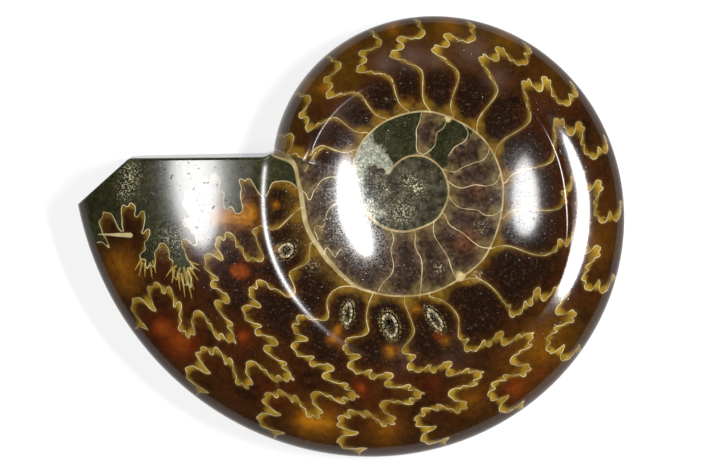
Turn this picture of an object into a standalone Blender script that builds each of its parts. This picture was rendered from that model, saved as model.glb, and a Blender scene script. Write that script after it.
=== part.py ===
"""Polished ammonite fossil dish.

A whole ammonite, filled with calcite and mud, ground and polished on every side. A shallow bowl is
carved into the upper face, the mouth of the shell is sawn off straight, and a small flat is ground
under it so that it rests level. Four chambers in the bowl are still hollow and lined with crystals.

The shell's middle plane lies flat. +Z is up, +Y runs towards the smaller side of the coil, and the
origin is on the ground under the middle of the dish. Lengths are in metres and angles in degrees.
"""

import math

import bmesh
import bpy
from mathutils import Euler, Vector, noise

# The coil: an equiangular spiral that grows clockwise, seen from above
COIL_CENTRE = Vector((0.0170, 0.0144))
COIL_START = 165.0  # direction in which the last turn begins, anticlockwise from +X
FIRST_RADIUS = 0.0412  # outer edge where the last turn begins
GROWTH_PER_TURN = 2.47
MIDDLE_PLANE = 0.0148  # height of the shell's middle plane above the ground

# Sections of the last turn: growth angle, height of the upper flank above the middle plane, its
# fullness, depth of the lower flank below that plane, its fullness
SECTIONS = (
    (0, 0.0130, 6.0, 0.0144, 4.0),
    (75, 0.0092, 6.0, 0.0146, 4.0),
    (165, 0.0105, 6.0, 0.0151, 3.4),
    (255, 0.0168, 3.6, 0.0156, 2.8),
    (360, 0.0210, 2.1, 0.0159, 2.5),
)
EDGE_ROUNDNESS = 1.8
NAVEL_DEPTH = 0.0140  # depth of the lower face at the middle of the coil
NAVEL_RADII = (0.006, 0.020)  # where the lower face starts and ends its dip to the navel
BODY_SEGMENTS, BODY_RINGS = 96, 32

# The carved bowl: an ellipsoid, stretched on its +Y side, whose lowest point is set here
BOWL_BOTTOM = Vector((0.0268, 0.0072, MIDDLE_PLANE + 0.0025))
BOWL_HALF_WIDTH = 0.077
BOWL_HALF_LENGTHS = (0.077, 0.098)  # towards -Y and +Y
BOWL_HALF_HEIGHT = 0.060
BOWL_SEGMENTS, BOWL_RINGS = 80, 48

# The sawn mouth: a straight cut behind the last turn and a second one across its corner
MOUTH_CUT_Y = 0.0240
MOUTH_CUT_END_X = -0.0243
MOUTH_CUT_LEAN, MOUTH_CUT_YAW = 2.5, 0.9
CORNER_CUT_FROM, CORNER_CUT_TO = Vector((-0.0644, 0.0233)), Vector((-0.0810, 0.0088))
SAW_BLOCK = 0.2

# Hollow chambers: name, centre, length, width, depth, turn of the long side from +X
HOLLOWS = (
    ("slit", Vector((-0.0012, -0.0225)), 0.0076, 0.0038, 0.0028, 84),
    ("pocket", Vector((0.0112, -0.0259)), 0.0082, 0.0052, 0.0038, 108),
    ("seam", Vector((0.0244, -0.0242)), 0.0086, 0.0038, 0.0025, 124),
    ("druse", Vector((-0.0191, -0.0040)), 0.0058, 0.0048, 0.0028, 35),
)
HOLLOW_SEGMENTS, HOLLOW_RINGS = 16, 10
CRUST_GAP = 0.0003
CRUST_THICKNESS = 0.0007
CRUST_LUMPS, CRUST_LUMP_SIZE = 0.00025, 0.0008


def smooth_step(value):
    value = min(max(value, 0.0), 1.0)
    return value * value * (3.0 - 2.0 * value)


def outer_radius(growth):
    return FIRST_RADIUS * GROWTH_PER_TURN ** (growth / 360.0)


def section(growth):
    """Flank height, its fullness, flank depth and its fullness at a growth angle."""
    for before, after in zip(SECTIONS, SECTIONS[1:]):
        if growth <= after[0]:
            share = smooth_step((growth - before[0]) / (after[0] - before[0]))
            return [a + (b - a) * share for a, b in zip(before[1:], after[1:])]
    return SECTIONS[-1][1:]


def flank(share, fullness):
    """Height of a flank, as a share of its greatest, at a share of the outer radius."""
    return (1.0 - min(share, 1.0) ** fullness) ** (1.0 / EDGE_ROUNDNESS)


def shell_point(direction):
    """Where the point of a unit sphere lies on the whole, uncarved shell."""
    azimuth = math.degrees(math.atan2(direction.y, direction.x))
    growth = (COIL_START - azimuth) % 360.0
    height, fullness, depth, low_fullness = section(growth)
    share = min(math.hypot(direction.x, direction.y), 1.0)
    radius = share * outer_radius(growth)
    if direction.z >= 0:
        z = height * flank(share, fullness)
    else:
        inner, outer = NAVEL_RADII
        full = smooth_step((radius - inner) / (outer - inner))
        z = -(NAVEL_DEPTH + (depth * flank(share, low_fullness) - NAVEL_DEPTH) * full)
    turn = math.radians(azimuth)
    return Vector((
        COIL_CENTRE.x + radius * math.cos(turn),
        COIL_CENTRE.y + radius * math.sin(turn),
        MIDDLE_PLANE + z,
    ))


def bowl_height(point):
    """Height of the carved bowl over a point of the ground."""
    across = (point.x - BOWL_BOTTOM.x) / BOWL_HALF_WIDTH
    offset = point.y - BOWL_BOTTOM.y
    along = offset / BOWL_HALF_LENGTHS[offset > 0]
    return BOWL_BOTTOM.z + BOWL_HALF_HEIGHT * (1.0 - math.sqrt(1.0 - across**2 - along**2))


def stone(name, colour, roughness):
    material = bpy.data.materials.new(name)
    material.use_nodes = True
    shader = material.node_tree.nodes["Principled BSDF"]
    shader.inputs["Base Color"].default_value = (*colour, 1.0)
    shader.inputs["Roughness"].default_value = roughness
    shader.inputs["Metallic"].default_value = 0.0
    return material


def add_mesh(name, shape, collection, material=None):
    """Put a bmesh in the scene as a named object."""
    mesh = bpy.data.meshes.new(name)
    shape.to_mesh(mesh)
    shape.free()
    mesh.shade_smooth()
    thing = bpy.data.objects.new(name, mesh)
    collection.objects.link(thing)
    if material:
        mesh.materials.append(material)
        mesh.set_sharp_from_angle(angle=math.radians(30.0))
    else:
        thing.hide_render = True
        thing.display_type = "WIRE"
    return thing


def cut(thing, cutter):
    """Subtract a cutter from a solid with a modifier that stays on it."""
    boolean = thing.modifiers.new(cutter.name, "BOOLEAN")
    boolean.operation = "DIFFERENCE"
    boolean.solver = "EXACT"
    boolean.object = cutter


def saw_block(name, corner, yaw, lean, collection):
    """A block whose lower edge starts at a corner and runs towards -X, turned by yaw."""
    shape = bmesh.new()
    bmesh.ops.create_cube(shape, size=SAW_BLOCK)
    half = SAW_BLOCK / 2.0
    bmesh.ops.translate(shape, verts=shape.verts, vec=(-half, half, 0.0))
    block = add_mesh(name, shape, collection)
    block.rotation_euler = Euler((math.radians(lean), 0.0, math.radians(yaw)))
    block.location = (corner.x, corner.y, MIDDLE_PLANE)
    return block


def hollow_shape(length, width, depth, turn, floor_point, shrink=0.0):
    """A lens-like lump set in the bowl, to cut a hollow or to start its crust."""
    shape = bmesh.new()
    bmesh.ops.create_uvsphere(shape, u_segments=HOLLOW_SEGMENTS, v_segments=HOLLOW_RINGS, radius=1.0)
    size = Vector((length / 2.0 - shrink, width / 2.0 - shrink, depth - shrink))
    bmesh.ops.scale(shape, verts=shape.verts, vec=size)
    rotation = Euler((0.0, 0.0, math.radians(turn))).to_matrix()
    bmesh.ops.rotate(shape, verts=shape.verts, matrix=rotation, cent=(0.0, 0.0, 0.0))
    bmesh.ops.translate(shape, verts=shape.verts, vec=floor_point)
    return shape


def build_body(collection, material):
    """The whole shell: a sphere whose points are moved out to the coiled form."""
    shape = bmesh.new()
    bmesh.ops.create_uvsphere(shape, u_segments=BODY_SEGMENTS, v_segments=BODY_RINGS, radius=1.0)
    start = Euler((0.0, 0.0, math.radians(COIL_START - 0.01))).to_matrix()
    for vertex in shape.verts:
        vertex.co = shell_point(start @ vertex.co)
    return add_mesh("fossil_dish", shape, collection, material)


def build_bowl(cutters):
    """The ellipsoid that carves the bowl."""
    shape = bmesh.new()
    bmesh.ops.create_uvsphere(shape, u_segments=BOWL_SEGMENTS, v_segments=BOWL_RINGS, radius=1.0)
    for vertex in shape.verts:
        length = BOWL_HALF_LENGTHS[vertex.co.y > 0]
        size = Vector((BOWL_HALF_WIDTH, length, BOWL_HALF_HEIGHT))
        middle = BOWL_BOTTOM + Vector((0.0, 0.0, BOWL_HALF_HEIGHT))
        vertex.co = vertex.co * size + middle
    return add_mesh("bowl_cutter", shape, cutters)


def carve_body(body, bowl, cutters):
    """Carve the bowl, saw off the mouth and grind the foot."""
    cut(body, bowl)
    mouth_corner = Vector((MOUTH_CUT_END_X, MOUTH_CUT_Y))
    cut(body, saw_block("mouth_saw", mouth_corner, MOUTH_CUT_YAW, MOUTH_CUT_LEAN, cutters))
    along = CORNER_CUT_FROM - CORNER_CUT_TO
    yaw = math.degrees(math.atan2(along.y, along.x))
    past = CORNER_CUT_FROM + along
    cut(body, saw_block("corner_saw", past, yaw, 0.0, cutters))

    shape = bmesh.new()
    bmesh.ops.create_cube(shape, size=SAW_BLOCK)
    bmesh.ops.translate(shape, verts=shape.verts, vec=(0.0, 0.0, -SAW_BLOCK / 2.0))
    cut(body, add_mesh("foot_grinder", shape, cutters))


def build_crust(name, sizes, floor_point, bowl, parts, cutters, material):
    """Crystals that line a hollow: a cup that is lumpy inside, cut level with the bowl."""
    crust_name = "crystal_crust_" + name
    crust = add_mesh(crust_name, hollow_shape(*sizes, floor_point, CRUST_GAP), parts, material)
    cut(crust, bowl)
    space = hollow_shape(*sizes, floor_point, CRUST_GAP + CRUST_THICKNESS)
    for vertex in space.verts:
        lump = noise.noise(vertex.co / CRUST_LUMP_SIZE)
        vertex.co += (floor_point - vertex.co).normalized() * lump * CRUST_LUMPS
    cut(crust, add_mesh(crust_name + "_space", space, cutters))


def build_hollows(body, bowl, parts, cutters):
    """Cut the hollow chambers into the bowl and line each with its crust of crystals."""
    calcite = stone("calcite crystals", (0.62, 0.55, 0.42), 0.35)
    for name, centre, *sizes in HOLLOWS:
        floor_point = Vector((centre.x, centre.y, bowl_height(centre)))
        cut(body, add_mesh(name + "_cutter", hollow_shape(*sizes, floor_point), cutters))
        build_crust(name, sizes, floor_point, bowl, parts, cutters, calcite)


def main():
    for thing in list(bpy.data.objects):
        bpy.data.objects.remove(thing, do_unlink=True)
    parts = bpy.data.collections.new("ammonite fossil dish")
    cutters = bpy.data.collections.new("cutters")
    for collection in (parts, cutters):
        bpy.context.scene.collection.children.link(collection)
    body = build_body(parts, stone("polished fossil", (0.20, 0.09, 0.03), 0.12))
    bowl = build_bowl(cutters)
    carve_body(body, bowl, cutters)
    build_hollows(body, bowl, parts, cutters)


main()
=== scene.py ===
import math
import random

import bmesh
import bpy
import numpy as np
from mathutils import Euler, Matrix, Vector
from mathutils.geometry import delaunay_2d_cdt
from mathutils.kdtree import KDTree


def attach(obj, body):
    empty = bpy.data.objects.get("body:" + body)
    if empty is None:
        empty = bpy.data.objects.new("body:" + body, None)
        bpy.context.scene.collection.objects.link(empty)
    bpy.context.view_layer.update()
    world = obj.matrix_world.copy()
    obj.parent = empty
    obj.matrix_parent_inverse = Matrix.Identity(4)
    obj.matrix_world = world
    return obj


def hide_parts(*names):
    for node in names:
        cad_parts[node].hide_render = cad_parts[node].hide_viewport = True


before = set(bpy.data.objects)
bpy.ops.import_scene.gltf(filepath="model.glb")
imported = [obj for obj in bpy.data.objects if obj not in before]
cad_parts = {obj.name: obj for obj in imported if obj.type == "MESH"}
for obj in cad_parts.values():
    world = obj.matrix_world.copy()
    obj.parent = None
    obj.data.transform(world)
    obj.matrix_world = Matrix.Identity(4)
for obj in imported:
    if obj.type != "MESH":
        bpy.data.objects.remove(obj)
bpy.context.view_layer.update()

# The table top, the camera and the lamps
# The dish lies on a white table and is seen from straight above. Two tall softboxes stand over
# its left and right sides, so that each shows as one bright patch in the polish.

MM = 0.001  # the dish is measured in millimetres, and the room round it in metres
PHOTO_WIDTH = 708
PIXEL = 0.293  # size of a photo pixel on the middle plane of the shell
MIDDLE_PLANE = 14.8  # height of the shell's middle plane above the table
VIEW_CENTRE = Vector((0.75 * MM, 0.16 * MM))
CAMERA_HEIGHT = 2.5
SENSOR_WIDTH = 36.0

camera_data = bpy.data.cameras.new("camera")
camera_data.sensor_width = SENSOR_WIDTH
camera_data.lens = SENSOR_WIDTH * (CAMERA_HEIGHT - MIDDLE_PLANE * MM) / (PHOTO_WIDTH * PIXEL * MM)
camera = bpy.data.objects.new("camera", camera_data)
camera.location = (*VIEW_CENTRE, CAMERA_HEIGHT)
bpy.context.scene.collection.objects.link(camera)
bpy.context.scene.camera = camera

LAMP_DISTANCE = 0.9
LAMPS = (  # name, angles from the vertical towards X and Y, turn, width, length, watts
    ("left_softbox", -24.2, -0.8, 0.0, 0.14, 0.27, 4.6),
    ("right_softbox", 30.8, 3.2, 21.0, 0.13, 0.39, 13.0),
)
for name, across, along, turn, width, length, power in LAMPS:
    lamp = bpy.data.lights.new(name, "AREA")
    lamp.shape = "ELLIPSE"
    lamp.size, lamp.size_y = width, length
    lamp.energy = power
    stand = bpy.data.objects.new(name, lamp)
    aim = Vector((math.tan(math.radians(across)), math.tan(math.radians(along)), 1.0)).normalized()
    stand.location = aim * LAMP_DISTANCE
    tilt = Euler((-math.asin(aim.y), math.atan2(aim.x, aim.z), 0.0)).to_matrix()
    stand.rotation_euler = (tilt @ Euler((0.0, 0.0, math.radians(turn))).to_matrix()).to_euler()
    bpy.context.scene.collection.objects.link(stand)

WHITE = (1.0, 1.0, 1.0, 1.0)
ROOM_LIGHT = 0.12
world = bpy.data.worlds.new("studio")
world.use_nodes = True
background = world.node_tree.nodes["Background"]
background.inputs["Color"].default_value = WHITE
background.inputs["Strength"].default_value = ROOM_LIGHT
bpy.context.scene.world = world

TABLE_SIZE = 3.0
TABLE_GREY = (0.25, 0.25, 0.25, 1.0)
TABLE_GLOW = 0.72  # light of its own, which keeps it white under soft lamps
bpy.ops.mesh.primitive_plane_add(size=TABLE_SIZE)
floor = bpy.context.object
floor.name = "table"
paper = bpy.data.materials.new("white table")
paper.use_nodes = True
shader = paper.node_tree.nodes["Principled BSDF"]
shader.inputs["Base Color"].default_value = TABLE_GREY
shader.inputs["Roughness"].default_value = 0.8
shader.inputs["Emission Color"].default_value = WHITE
shader.inputs["Emission Strength"].default_value = TABLE_GLOW
floor.data.materials.append(paper)
bpy.context.scene.view_settings.view_transform = "Standard"


# The form of the shell
# A whole ammonite, filled with calcite and mud and ground on every side. It coils clockwise in a
# spiral that grows by the same share in each degree. Places on it are given by growth, the degrees
# since the last turn began, and by share of the outer radius.

COIL_CENTRE = (17.0, 14.4)
COIL_START = 165.0
FIRST_RADIUS = 41.195
GROWTH_PER_TURN = 2.47
SECTIONS = np.array((  # growth, height of the upper flank, its fullness, depth of the lower, its fullness
    (0, 13.0, 6.0, 14.4, 4.0),
    (75, 9.2, 6.0, 14.6, 4.0),
    (165, 10.5, 6.0, 15.1, 3.4),
    (255, 16.8, 3.6, 15.6, 2.8),
    (360, 21.0, 2.1, 15.9, 2.5),
))
EDGE_ROUNDNESS = 1.8
NAVEL_DEPTH = 14.0
NAVEL_RADII = (6.0, 20.0)  # where the lower face starts and ends its dip to the navel
BOWL_BOTTOM = (26.8, 7.2, MIDDLE_PLANE + 2.5)
BOWL_HALF_WIDTH = 77.0
BOWL_HALF_LENGTHS = (77.0, 98.0)  # towards -Y and +Y
BOWL_HALF_HEIGHT = 60.0
RIM_SOFTNESS = (0.5, 2.4)  # width of the bowl's worn edge, at the +X side and at the -X side
SOFTER_FROM, SOFTER_OVER = 15.0, 35.0  # X where it starts to widen, and the length over which it does
CRISP_FROM, CRISP_OVER = (15.0, 20.0), (10.0, 6.0)  # corner past which it narrows again, and how soon
CRISP_SHARE = 0.8
STEP_HALF_WIDTH = 1.3  # of the step where the last turn ends on the first
STEP_GROWTH, STEP_RADIUS = 0.6, 41.5  # it stands this many degrees before the start at this radius
STEP_LEAN = 0.25  # and this many more with each millimetre nearer to the middle
STEP_REACH = 60.0  # degrees either side of the start within which it is looked for


def smooth_step(value):
    """0 below 0, 1 above 1 and a smooth ramp between."""
    value = np.clip(value, 0.0, 1.0)
    return value * value * (3.0 - 2.0 * value)


def outer_radius(growth):
    """Distance of the outer edge from the middle of the coil."""
    return FIRST_RADIUS * GROWTH_PER_TURN ** (growth / 360.0)


def coil_point(growth, share):
    """Where a share of the outer radius lies at a growth angle."""
    radius = share * outer_radius(growth)
    turn = np.radians(COIL_START - growth)
    return COIL_CENTRE[0] + radius * np.cos(turn), COIL_CENTRE[1] + radius * np.sin(turn)


def polar(x, y):
    """Growth angle from -180 to 180 either side of the coil's start, and radius."""
    x, y = x - COIL_CENTRE[0], y - COIL_CENTRE[1]
    growth = (COIL_START - np.degrees(np.arctan2(y, x)) + 180.0) % 360.0 - 180.0
    return growth, np.hypot(x, y)


def section(growth):
    """Height, fullness, depth and lower fullness at growth angles."""
    growth = np.clip(growth, 0.0, 360.0)
    row = np.clip(np.searchsorted(SECTIONS[:, 0], growth, side="left") - 1, 0, len(SECTIONS) - 2)
    before, after = SECTIONS[row], SECTIONS[row + 1]
    share = smooth_step((growth - before[..., 0]) / (after[..., 0] - before[..., 0]))
    return [before[..., k] + (after[..., k] - before[..., k]) * share for k in range(1, 5)]


def flank(share, fullness):
    """Height of a flank, as a share of its greatest, at a share of the outer radius."""
    return (1.0 - np.clip(share, 0.0, 1.0) ** fullness) ** (1.0 / EDGE_ROUNDNESS)


def turn_height(growth, radius, upper):
    """Height of one face of the turn that is at a growth angle."""
    height, fullness, depth, low_fullness = section(growth)
    share = radius / outer_radius(growth)
    if upper:
        return MIDDLE_PLANE + height * flank(share, fullness)
    full = smooth_step((radius - NAVEL_RADII[0]) / (NAVEL_RADII[1] - NAVEL_RADII[0]))
    return MIDDLE_PLANE - (NAVEL_DEPTH + (depth * flank(share, low_fullness) - NAVEL_DEPTH) * full)


def shell_height(x, y, upper):
    """Height of the whole shell, with the step where its end overlaps its start."""
    growth, radius = polar(x, y)
    past = growth + STEP_GROWTH + STEP_LEAN * (STEP_RADIUS - radius)
    last = smooth_step(0.5 - past / 180.0 * math.pi * radius / (2.0 * STEP_HALF_WIDTH))
    last = np.where(np.abs(growth) > STEP_REACH, growth < 0.0, last)
    inner = turn_height(np.where(growth < -STEP_REACH, 360.0 + growth, growth), radius, upper)
    outer = turn_height(360.0 + np.minimum(growth, 0.0), radius, upper)
    return inner + (outer - inner) * last


def bowl_height(x, y):
    """Height of the carved bowl, an ellipsoid that is longer towards +Y."""
    across = (x - BOWL_BOTTOM[0]) / BOWL_HALF_WIDTH
    offset = y - BOWL_BOTTOM[1]
    along = offset / np.where(offset > 0, BOWL_HALF_LENGTHS[1], BOWL_HALF_LENGTHS[0])
    inside = np.clip(1.0 - across**2 - along**2, 0.0001, 1.0)
    return BOWL_BOTTOM[2] + BOWL_HALF_HEIGHT * (1.0 - np.sqrt(inside))


def carved_height(x, y):
    """Height of the upper face: the shell and the bowl, blended where they meet."""
    shell, bowl = shell_height(x, y, True), bowl_height(x, y)
    wider = smooth_step((SOFTER_FROM - x) / SOFTER_OVER)
    softness = RIM_SOFTNESS[0] + (RIM_SOFTNESS[1] - RIM_SOFTNESS[0]) * wider
    above = smooth_step((y - CRISP_FROM[1]) / CRISP_OVER[1])
    left = smooth_step((CRISP_FROM[0] - x) / CRISP_OVER[0])
    softness = softness * (1.0 - CRISP_SHARE * above * left)
    near = np.clip(softness - np.abs(shell - bowl), 0.0, softness) / softness
    return np.minimum(shell, bowl) - near * near * softness / 4.0


# The sawn mouth
# The opening of the shell, full of hardened mud, was sawn off straight, and a second cut took its
# outer corner away. Polishing wore the edges of both cuts round.

MOUTH_CUT_Y = 24.0
MOUTH_CUT_END_X = -24.3
MOUTH_CUT_LEAN, MOUTH_CUT_YAW = 2.5, 0.9
CORNER_CUT = ((-64.4, 23.3), (-81.0, 8.8))
EDGE_RADIUS = 0.8
EDGE_FADE = 1.5  # length over which the worn edge dies out towards the notch


def mouth_distance(x, y, z):
    """Distance behind the mouth cut, positive inside the stone."""
    plane = MOUTH_CUT_Y + math.tan(math.radians(MOUTH_CUT_YAW)) * (x - MOUTH_CUT_END_X)
    return plane - math.tan(math.radians(MOUTH_CUT_LEAN)) * (z - MIDDLE_PLANE) - y


def corner_distance(x, y):
    """Distance behind the cut across the corner, positive inside the stone."""
    (ax, ay), (bx, by) = CORNER_CUT
    length = math.hypot(bx - ax, by - ay)
    return ((bx - ax) * (y - ay) - (by - ay) * (x - ax)) / length


def worn_edge(distance):
    """How far a face drops at a distance inside a cut edge."""
    past = np.clip(EDGE_RADIUS - distance, 0.0, EDGE_RADIUS)
    return EDGE_RADIUS - np.sqrt(EDGE_RADIUS**2 - past**2)


def edge_drop(x, y, z):
    """How far a face drops at its worn edges."""
    mouth = worn_edge(mouth_distance(x, y, z)) * smooth_step((MOUTH_CUT_END_X - x) / EDGE_FADE)
    return np.maximum(mouth, worn_edge(corner_distance(x, y)))


# The hollow chambers
# Four chambers in the bowl never filled up with calcite. The carving laid them open, and each is
# now a shallow oval pit with crystals on its walls.

HOLLOWS = (  # name, centre, length, width, depth, turn of the long side
    ("slit", (-1.2, -22.5), 7.6, 3.8, 2.8, 84.0),
    ("pocket", (11.2, -25.9), 8.2, 5.2, 3.8, 108.0),
    ("seam", (24.4, -24.2), 8.6, 3.8, 2.5, 124.0),
    ("druse", (-19.1, -4.0), 5.8, 4.8, 2.8, 35.0),
)


def hollow_spread(x, y, hollow):
    """How far out a point lies in a hollow; 1 is the hollow's edge."""
    name, centre, length, width, depth, turn = hollow
    c, s = math.cos(math.radians(turn)), math.sin(math.radians(turn))
    x, y = x - centre[0], y - centre[1]
    return np.hypot((x * c + y * s) / (length / 2.0), (y * c - x * s) / (width / 2.0))


def top_height(x, y):
    """Height of the finished upper face, with its pits and worn edges."""
    z = carved_height(x, y)
    for hollow in HOLLOWS:
        z = z - hollow[4] * np.sqrt(np.clip(1.0 - hollow_spread(x, y, hollow) ** 2, 0.0, 1.0))
    return np.maximum(z - edge_drop(x, y, z), MIDDLE_PLANE)


def bottom_height(x, y):
    """Height of the lower face, ground flat where it would reach below the table."""
    z = np.maximum(shell_height(x, y, False), 0.0)
    return np.minimum(z + edge_drop(x, y, z), MIDDLE_PLANE)


# The sutures and the wall between the coils
# Thin walls of pale calcite closed the chambers and parted the coils, and grinding cut them flush.
# A chamber wall shows as a suture, smooth in the bowl and frilled on the flank, drawn in strokes
# of growth, in degrees from its outer bulge, and share of the outer radius.

DEGREE = 0.0148  # length of a degree of growth, as a share of the outer radius
GROWN = (
    ((1.4, 0.465), (3.4, 0.472), (4.9, 0.480), (4.9, 0.488), (4.1, 0.495)),
    ((4.9, 0.504), (4.0, 0.511), (1.8, 0.507), (-0.2, 0.512), (-3.2, 0.514), (-5.7, 0.516),
     (-6.7, 0.528)),
    ((-6.2, 0.537), (-4.2, 0.541), (-4.2, 0.550), (-5.0, 0.560), (-3.7, 0.564), (-1.7, 0.562),
     (0.1, 0.554), (0.8, 0.561), (0.8, 0.573)),
    ((2.3, 0.568), (3.8, 0.563), (5.3, 0.569), (6.2, 0.580), (5.8, 0.588), (4.3, 0.595), (4.0, 0.602)),
    ((5.4, 0.609), (5.2, 0.620), (4.2, 0.626), (3.4, 0.635), (1.4, 0.630), (-0.3, 0.628),
     (-1.3, 0.634)),
    ((-0.8, 0.641), (0.4, 0.650), (1.6, 0.660), (1.9, 0.670), (1.4, 0.685), (0.0, 0.684), (-1.1, 0.699),
     (-2.1, 0.697), (-4.1, 0.685), (-5.3, 0.677), (-5.8, 0.681)),
    ((-5.3, 0.690), (-5.3, 0.704), (-6.1, 0.713), (-7.1, 0.711), (-7.6, 0.700), (-8.3, 0.696),
     (-9.3, 0.694), (-10.0, 0.686), (-10.8, 0.688), (-11.8, 0.690), (-12.5, 0.698)),
    ((-12.3, 0.706), (-11.1, 0.714), (-10.2, 0.722)),
    ((-10.2, 0.735), (-11.0, 0.742), (-12.6, 0.742), (-13.6, 0.741), (-14.4, 0.747), (-15.6, 0.744),
     (-17.0, 0.738), (-17.8, 0.745), (-17.0, 0.757), (-18.0, 0.762), (-20.0, 0.764), (-20.6, 0.775),
     (-21.7, 0.783)),
    ((-20.2, 0.786), (-20.7, 0.795), (-19.4, 0.796), (-17.6, 0.790), (-17.3, 0.797), (-18.5, 0.811)),
    ((-17.4, 0.814), (-16.0, 0.808), (-15.1, 0.800), (-14.1, 0.794), (-13.5, 0.801), (-12.6, 0.796),
     (-11.8, 0.792), (-10.6, 0.793), (-9.8, 0.799), (-9.6, 0.810)),
    ((-10.3, 0.822), (-10.8, 0.830), (-11.0, 0.839), (-12.1, 0.845), (-13.3, 0.852), (-14.1, 0.864),
     (-13.3, 0.868), (-14.0, 0.882)),
    ((-13.2, 0.884), (-12.1, 0.876), (-11.9, 0.882), (-11.7, 0.889)),
    ((-10.9, 0.888), (-10.3, 0.873), (-9.7, 0.860), (-9.3, 0.861), (-8.8, 0.864), (-8.2, 0.852),
     (-7.6, 0.840), (-6.8, 0.834), (-6.3, 0.828), (-5.9, 0.834), (-6.2, 0.846), (-6.6, 0.857)),
    ((-5.3, 0.848), (-4.2, 0.838), (-3.3, 0.835), (-2.2, 0.831), (-1.9, 0.838), (-2.4, 0.850),
     (-3.1, 0.863), (-1.8, 0.861), (-1.2, 0.856), (-0.4, 0.860), (0.0, 0.870)),
    ((-0.8, 0.880), (-0.3, 0.893), (-1.6, 0.902), (-3.0, 0.905), (-4.1, 0.909), (-5.6, 0.912)),
    ((-5.4, 0.918), (-4.6, 0.924), (-3.1, 0.928), (-1.9, 0.934), (-1.6, 0.945), (-1.5, 0.957)),
    ((-2.4, 0.963), (-3.2, 0.977), (-4.3, 0.975), (-5.4, 0.975), (-6.6, 0.970), (-8.3, 0.969)),
    ((-7.6, 0.976), (-6.9, 0.985), (-6.8, 1.0)),
)
MIDDLE = (
    ((-8.9, 0.752), (-9.7, 0.765), (-11.4, 0.773), (-13.1, 0.778), (-14.4, 0.790), (-15.4, 0.800),
     (-16.2, 0.812)),
    ((-15.7, 0.822), (-14.8, 0.826), (-15.2, 0.838), (-15.2, 0.846)),
    ((-14.2, 0.842), (-13.2, 0.835), (-12.4, 0.829), (-11.4, 0.832), (-10.2, 0.828), (-9.2, 0.833),
     (-8.9, 0.845)),
    ((-9.4, 0.858), (-10.1, 0.868), (-11.0, 0.878), (-12.2, 0.890), (-12.6, 0.900), (-12.0, 0.911)),
    ((-11.2, 0.912), (-10.6, 0.905), (-10.2, 0.916)),
    ((-9.6, 0.912), (-9.0, 0.900), (-8.2, 0.892), (-7.4, 0.887), (-6.6, 0.877), (-5.9, 0.868),
     (-5.3, 0.864), (-5.0, 0.870), (-4.8, 0.880)),
    ((-4.1, 0.876), (-3.4, 0.869), (-2.4, 0.866), (-1.8, 0.870), (-1.6, 0.880), (-1.2, 0.887),
     (-0.4, 0.888), (0.0, 0.900)),
    ((0.0, 0.910), (-0.8, 0.922), (-2.2, 0.930), (-3.3, 0.938)),
    ((-2.6, 0.945), (-1.6, 0.950), (-1.0, 0.962)),
    ((-1.4, 0.970), (-2.4, 0.978), (-3.9, 0.983), (-6.2, 0.985)),
    ((-6.4, 0.992), (-6.5, 1.0)),
)
YOUNG = (
    ((-7.1, 0.760), (-9.6, 0.770), (-11.6, 0.780), (-13.3, 0.795), (-13.9, 0.805)),
    ((-13.1, 0.816), (-12.6, 0.829)),
    ((-11.6, 0.829), (-10.1, 0.826), (-8.5, 0.826), (-7.7, 0.840)),
    ((-7.9, 0.852), (-8.9, 0.866), (-10.1, 0.884), (-9.9, 0.897)),
    ((-9.6, 0.903), (-9.1, 0.907)),
    ((-8.1, 0.902), (-7.1, 0.893), (-5.6, 0.884), (-4.1, 0.880), (-3.8, 0.886)),
    ((-2.6, 0.881), (-1.2, 0.881), (-0.5, 0.890), (0.0, 0.906)),
    ((-0.4, 0.920), (-1.6, 0.935), (-2.9, 0.953)),
    ((-2.2, 0.962), (-2.1, 0.973)),
    ((-2.6, 0.985), (-3.6, 0.993)),
    ((-3.9, 0.997), (-4.1, 1.0)),
)
FRILLED = 8  # the first stroke that sutures of every age have
STAGES = ((64.1, YOUNG), (137.4, MIDDLE), (272.6, GROWN[FRILLED:]))  # growth of the bulge, its strokes
SMOOTH_FROM, SMOOTH_OVER = 64.1, 73.3  # growth over which the smooth part changes
SMOOTH_YOUNG = ((9.9, 0.455), (5.9, 0.485), (3.4, 0.520), (2.4, 0.560), (1.9, 0.600), (1.6, 0.650),
                (0.9, 0.680), (-0.6, 0.700), (-3.1, 0.720), (-6.1, 0.735), (-6.9, 0.745))
SMOOTH_MIDDLE = ((5.6, 0.455), (2.6, 0.480), (0.6, 0.510), (-0.2, 0.550), (-0.4, 0.600), (-0.6, 0.640),
                 (-1.2, 0.680), (-1.9, 0.700), (-3.9, 0.720), (-5.4, 0.728), (-7.4, 0.732),
                 (-8.6, 0.742))
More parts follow.
